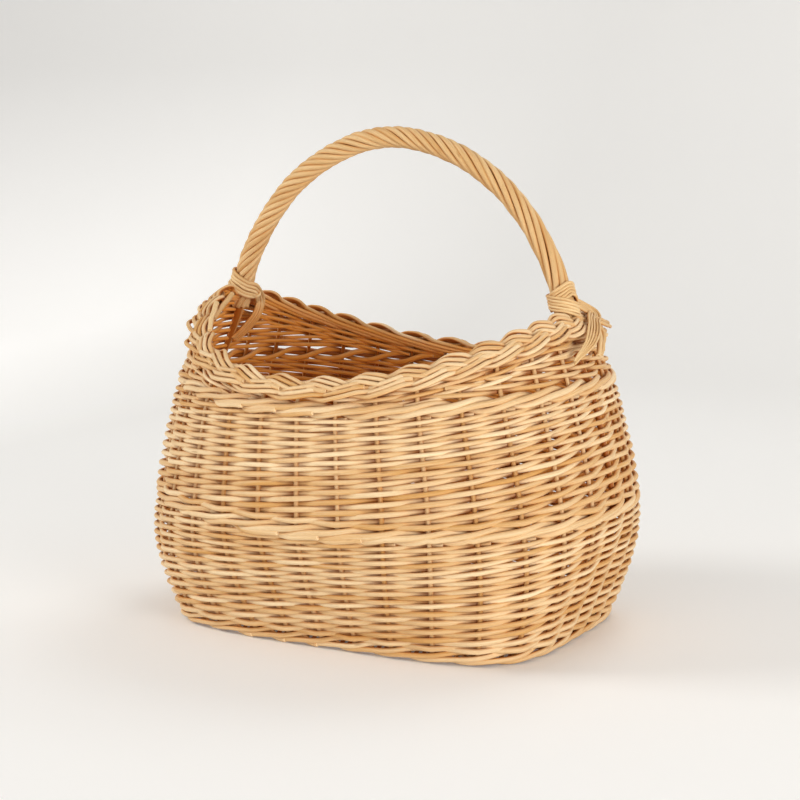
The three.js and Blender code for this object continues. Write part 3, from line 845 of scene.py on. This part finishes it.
# The bow's own line, smoothed where its legs meet the arch. It thins inside the wall.
def bowRod():
    form = handleForm
    legTop = topWaleLine(rightEnd)
    right, _ = onWall(rightEnd, np.linspace(form["legFoot"], legTop, form["legSteps"]), 0)
    line = np.concatenate([right, archPoints[::6], (right * mirrored)[::-1]])
    for _ in range(3):
        line[1:-1] = (line[:-2] + 2 * line[1:-1] + line[2:]) / 4
    normal = np.broadcast_to(np.array([0, 1.0, 0]), line.shape)
    full = smooth(legTop, rimEndHeight, line[:, 2])
    radius = form["bowTip"] + (form["bow"] - form["bowTip"]) * full
    return rodOf(np.random.default_rng(81), line, normal, radius)


settle("handle_bow", [bowRod()], handleSkin, sides=12)

rootHeight = rimEndHeight + handleForm["rootLift"]
ropingFrom = np.interp(rootHeight, archPoints[:60, 2], archDistance[:60]) - handleForm["rootLength"]
ropingTo = archDistance[-1] - ropingFrom
distance = np.linspace(ropingFrom, ropingTo, ropingForm["steps"])
share = (distance - ropingFrom) / (ropingTo - ropingFrom)
lay = np.radians(ropingForm["layRight"] + (ropingForm["layLeft"] - ropingForm["layRight"])
                 * smooth(ropingForm["easeFrom"], ropingForm["easeTo"], share))
windingStep = np.tan(lay) / ropingForm["around"]
winding = np.concatenate([[0], np.cumsum((windingStep[1:] + windingStep[:-1]) / 2 * np.diff(distance))])
ends = 1 - smooth(0, ropingForm["rootShare"], share) + smooth(1 - ropingForm["rootShare"], 1, share)
for number in range(ropingForm["rods"]):
    form = ropingForm
    rng = np.random.default_rng(90 + number)
    turn = winding + 2 * math.pi * number / form["rods"]
    turn = turn + form["turnStray"] * sway(rng, share * form["turnRate"])
    stray = form["stray"] * sway(rng, share * form["strayRate"])
    line, out = roundArch(distance, turn, form["around"] - form["drawnIn"] * ends + stray)
    thick = form["radius"] * rng.uniform(*form["sizes"])
    thick = thick * swelling(rng, share * form["swellRate"], form["swelling"])
    settle(f"roping_rod_{number + 1}", [rodOf(rng, line, out, thick)], handleSkin, sides=12)
print("stage: handle roped")


# Lashings: bands of thin rods laid side by side. A station is a place round the handle's
# root ("arch": distance, turn, radius), over the border ("rim": place, across, lift) or on
# the wall ("wall": place, height, offset).
def stationAt(side, kind, a, b, c):
    if kind == "rim":
        return onBorder(a, b, c)
    if kind == "wall":
        point, normal = onWall(a, b, c)
        return point, normal * (1 if c >= 0 else -1)
    point, out = roundArch(a, b, c)
    return (point, out) if side > 0 else (point * mirrored, out * mirrored)


# A smooth curve through all the values, with a number of steps from each to the next.
def throughPoints(values, perSpan):
    v = np.array(values, float)
    padded = np.concatenate([[2 * v[0] - v[1]], v, [2 * v[-1] - v[-2]]])
    t = np.linspace(0, 1, perSpan, endpoint=False)[:, None]
    spans = []
    for i in range(1, len(padded) - 2):
        a, b, c, d = padded[i - 1:i + 3]
        spans.append(0.5 * (2 * b + (c - a) * t + (2 * a - 5 * b + 4 * c - d) * t ** 2
                            + (3 * b - a - 3 * c + d) * t ** 3))
    return np.concatenate(spans + [v[-1:]])


# "close" draws a band's rods together at its end, "ragged" cuts some shorter, "facing" tips
# the band, and the inside-shade key gives its end the painted shade of the basket's inside.
bandForm = {
    "steps": 12, "stray": 0.0002, "rate": 6, "sizes": (0.92, 1.08), "lean": -0.1, "closeFrom": 0.55,
    "insideFrom": 0.6, "insideTo": 0.8,
    "usual": {"rods": 1, "spacing": 0, "facing": (0, 0, 0), "close": 1, "taper": 0.9, "ragged": 0,
              "inside": 0},
}


def bandRods(rng, side, band):
    form, band = bandForm, {**bandForm["usual"], **band}
    stations = [stationAt(side, kind, *station) for kind, *route in band["route"] for station in route]
    middle = throughPoints([p for p, _ in stations], form["steps"])
    out = unit(throughPoints([n for _, n in stations], form["steps"]) + np.array(band["facing"]))
    along = unit(np.gradient(middle, axis=0))
    out = unit(out - along * np.sum(out * along, axis=1, keepdims=True))
    wide = np.cross(along, out)
    share = np.linspace(0, 1, len(middle))
    closing = 1 - (1 - band["close"]) * smooth(form["closeFrom"], 1, share)
    rods = []
    for i in range(band["rods"]):
        slot = (i - (band["rods"] - 1) / 2) * band["spacing"] * closing
        slot = slot + form["stray"] * sway(rng, share * form["rate"])
        lift = form["stray"] * sway(rng, share * form["rate"])
        line = middle + wide * slot[:, None] + out * lift[:, None]
        radius = band["radius"] * rng.uniform(*form["sizes"]) * (1 - (1 - band["taper"]) * share)
        last = len(line) - int(len(line) * rng.uniform(0, band["ragged"]))
        rods.append(rodOf(rng, line[:last], out[:last], radius[:last], lean=form["lean"]))
        rods[-1]["inside"] = band["inside"] * smooth(form["insideFrom"], form["insideTo"], share[:last])
    return rods


rightLashing = [
    {"rods": 5, "spacing": 0.0026, "radius": 0.0015, "route": [
        ("arch", (0.016, 1.2, 0.01), (0.02, 0.4, 0.0106), (0.0265, -0.5, 0.0112),
         (0.0325, -1.2, 0.0113), (0.035, -1.9, 0.0113), (0.033, -2.5, 0.0113), (0.0305, -3.1, 0.0113),
         (0.0275, -3.8, 0.0112), (0.024, -4.5, 0.011))]},
    {"rods": 5, "spacing": 0.0026, "radius": 0.0015, "route": [
        ("arch", (0.016, 6.6, 0.0112), (0.0155, 5.7, 0.0114), (0.017, 4.9, 0.012), (0.02, 4.1, 0.0126),
         (0.0228, 3.5, 0.0128), (0.0255, 2.8, 0.0126), (0.028, 2.1, 0.0122), (0.029, 1.4, 0.0116),
         (0.0285, 0.7, 0.0114))]},
    {"rods": 5, "spacing": 0.0028, "radius": 0.00155, "close": 0.22, "taper": 0.5, "ragged": 0.04,
     "facing": (0.25, -0.55, 0.35), "route": [
        ("arch", (0.019, 0.9, 0.011), (0.021, 0.2, 0.012), (0.022, -0.5, 0.0138)),
        ("rim", (8.83, -0.003, 0.0085), (8.36, 0.0025, 0.0088), (8.12, 0.0075, 0.0082),
         (7.9, 0.012, 0.0074), (7.64, 0.018, 0.006), (7.42, 0.0225, 0.004), (7.18, 0.026, 0.0022),
         (6.96, 0.03, 0.0008))]},
    {"radius": 0.0024, "route": [
        ("rim", (8.4, 0.004, 0.005), (8.28, 0.0135, 0.0056), (8.1, 0.022, 0.0046), (7.92, 0.0305, 0.0034))]},
    {"radius": 0.0023, "route": [
        ("rim", (8.75, 0.004, 0.0044), (8.66, 0.0135, 0.004), (8.4, 0.022, 0.003), (8.16, 0.03, 0.0024))]},
    {"rods": 2, "spacing": 0.0036, "radius": 0.0019, "route": [
        ("rim", (8.5, 0.002, 0.008), (8.9, 0.005, 0.0086), (9.25, 0.006, 0.0088), (9.55, 0.006, 0.009))]},
]
leftLashing = [
    {"rods": 4, "spacing": 0.0033, "radius": 0.00168, "inside": 0.6, "route": [
        ("arch", (0.032, 5.9, 0.0106), (0.0335, 5.3, 0.011), (0.034, 4.7, 0.0112), (0.0335, 4.1, 0.0113),
         (0.032, 3.5, 0.0113), (0.03, 2.9, 0.0113), (0.0275, 2.3, 0.0117), (0.0262, 1.7, 0.013),
         (0.0235, 1.35, 0.0145)),
        ("wall", (23.36, 0.286, -0.013), (23.38, 0.28, -0.015), (23.5, 0.272, -0.016),
         (23.64, 0.263, -0.014), (23.78, 0.254, -0.011), (23.9, 0.246, -0.0075))]},
    {"radius": 0.00185, "route": [
        ("arch", (0.03, 5.2, 0.0115), (0.028, 4.6, 0.0122), (0.0258, 4.0, 0.0126), (0.023, 3.1, 0.0128),
         (0.0196, 2.4, 0.013), (0.0182, 1.7, 0.014), (0.0205, 1.2, 0.0165), (0.0235, 0.8, 0.015),
         (0.025, 0.2, 0.0125))]},
    {"radius": 0.0024, "route": [
        ("rim", (25.55, -0.014, 0.0075), (26.0, -0.0138, 0.007), (26.45, -0.013, 0.0055),
         (26.9, -0.012, 0.002))]},
    {"radius": 0.0024, "route": [
        ("rim", (26.5, -0.0108, 0.0078), (26.85, -0.0108, 0.0068), (27.2, -0.0104, 0.005),
         (27.6, -0.0098, 0.0015))]},
]
lashings = {"lashing_right": (1, rightLashing, 101), "lashing_left": (-1, leftLashing, 102)}
for name, (side, bands, seed) in lashings.items():
    rng = np.random.default_rng(seed)
    rods = [rod for band in bands for rod in bandRods(rng, side, band)]
    settle(name, rods, handleSkin)
print("stage: lashings wound")

# Camera at the photograph's viewing angle, fitted to an 800 by 800 frame.
cameraForm = {"turn": 28.77, "tilt": 8.4, "distance": 1.6958, "focal": 1872.5, "width": 800,
              "sensor": 36.0, "aside": 0.00398, "height": 0.1984}


def placeCamera():
    form = cameraForm
    turn, tilt = math.radians(form["turn"]), math.radians(form["tilt"])
    right = Vector((math.cos(turn), math.sin(turn), 0))
    back = Vector((math.sin(turn) * math.cos(tilt), -math.cos(turn) * math.cos(tilt), math.sin(tilt)))
    camera = addObject("camera", bpy.data.cameras.new("camera"))
    camera.data.sensor_width = form["sensor"]
    camera.data.lens = form["focal"] * form["sensor"] / form["width"]
    camera.data.clip_start, camera.data.clip_end = 0.05, 30
    camera.location = right * form["aside"] + Vector((0, 0, form["height"])) + back * form["distance"]
    camera.rotation_euler = (-back).to_track_quat("-Z", "Y").to_euler()
    bpy.context.scene.camera = camera


placeCamera()

# A pale studio sweep: a floor that curves up into the backdrop far behind the basket. Seen
# by the camera, the sweep glows a little all over, and painted light makes the backdrop a little lighter low
# down on the left, as in the photo.
studioForm = {
    "width": 9.0, "front": -4.0, "bend": 1.6, "bendRadius": 1.2, "height": 4.0, "steps": 14,
    "paper": [tint(242, 241, 239), tint(245, 244, 242)], "patches": 1.5, "roughness": 0.9, "specular": 0.1,
    "glowColor": tint(240, 238, 236), "glow": 0.08, "leftFrom": -0.9, "leftTo": -1.7, "leftPaintedLight": 0.34,
    "leftTop": 0.6, "topShare": 0.25,
}


def palePaper():
    form = studioForm
    material = bpy.data.materials.new("pale paper")
    material.use_nodes = True
    tree = material.node_tree
    place = addNode(tree, "ShaderNodeTexCoord").outputs["Object"]
    noise = addNode(tree, "ShaderNodeTexNoise", {"Scale": form["patches"], "Vector": place})
    ramp = addNode(tree, "ShaderNodeValToRGB", {"Fac": noise.outputs["Fac"]})
    for element, color in zip(ramp.color_ramp.elements, form["paper"]):
        element.color = color
    split = addNode(tree, "ShaderNodeSeparateXYZ", {0: place}).outputs
    # A painted pool of light low down on the left, seen only by the camera, on top of an even glow.
    aside = addNode(tree, "ShaderNodeMapRange", {"Value": split["X"], "From Min": form["leftFrom"],
                                                 "From Max": form["leftTo"], "To Max": form["leftPaintedLight"]})
    low = addNode(tree, "ShaderNodeMapRange", {"Value": split["Z"], "From Max": form["leftTop"],
                                               "To Min": 1, "To Max": form["topShare"]})
    glow = addNode(tree, "ShaderNodeMath", {0: aside.outputs[0], 1: low.outputs[0], 2: form["glow"]},
                   operation="MULTIPLY_ADD")
    seen = addNode(tree, "ShaderNodeLightPath").outputs["Is Camera Ray"]
    glow = addNode(tree, "ShaderNodeMath", {0: glow.outputs[0], 1: seen}, operation="MULTIPLY")
    feed(tree.nodes["Principled BSDF"], {
        "Base Color": ramp.outputs["Color"], "Roughness": form["roughness"],
        "Specular IOR Level": form["specular"], "Emission Color": form["glowColor"],
        "Emission Strength": glow.outputs[0]})
    return material


def paleSweep():
    form = studioForm
    half, bend, radius = form["width"] / 2, form["bend"], form["bendRadius"]
    turns = [math.pi / 2 * i / form["steps"] for i in range(form["steps"] + 1)]
    curve = [(bend + radius * math.sin(a), radius * (1 - math.cos(a))) for a in turns]
    profile = [(form["front"], 0.0), *curve, (bend + radius, form["height"])]
    verts = [(x, y, z) for y, z in profile for x in (-half, half)]
    quads = [(2 * i, 2 * i + 1, 2 * i + 3, 2 * i + 2) for i in range(len(profile) - 1)]
    mesh = bpy.data.meshes.new("floor")
    mesh.from_pydata(verts, [], quads)
    mesh.polygons.foreach_set("use_smooth", [True] * len(quads))
    mesh.materials.append(palePaper())
    floor = addObject("floor", mesh)


paleSweep()

lampAim = Vector((0, 0, 0.18))
white, warmWhite = (1.0, 0.995, 0.98), (1.0, 0.99, 0.97)
lamps = [
    {"name": "key", "at": (-2.3, -1.25, 1.65), "size": 1.1, "power": 35, "color": white},
    {"name": "fill", "at": (2.3, -1.0, 0.5), "size": 1.2, "power": 36, "color": white},
    {"name": "front", "at": (0.0, -2.4, 0.3), "size": 1.0, "power": 12, "color": white},
    {"name": "back", "at": (0.3, 1.3, 2.2), "size": 1.2, "power": 13, "color": warmWhite},
]
for form in lamps:
    lamp = addObject(form["name"], bpy.data.lights.new(form["name"], "AREA"))
    lamp.data.size = form["size"]
    lamp.data.energy = form["power"]
    lamp.data.color = form["color"]
    lamp.location = form["at"]
    lamp.rotation_euler = (lampAim - Vector(form["at"])).to_track_quat("-Z", "Y").to_euler()

world = bpy.data.worlds.new("studio")
world.use_nodes = True
feed(world.node_tree.nodes["Background"], {"Color": (1.0, 0.985, 0.96, 1), "Strength": 0.42})
bpy.context.scene.world = world
bpy.context.scene.view_settings.view_transform = "Standard"
print("stage: camera, floor and light set")
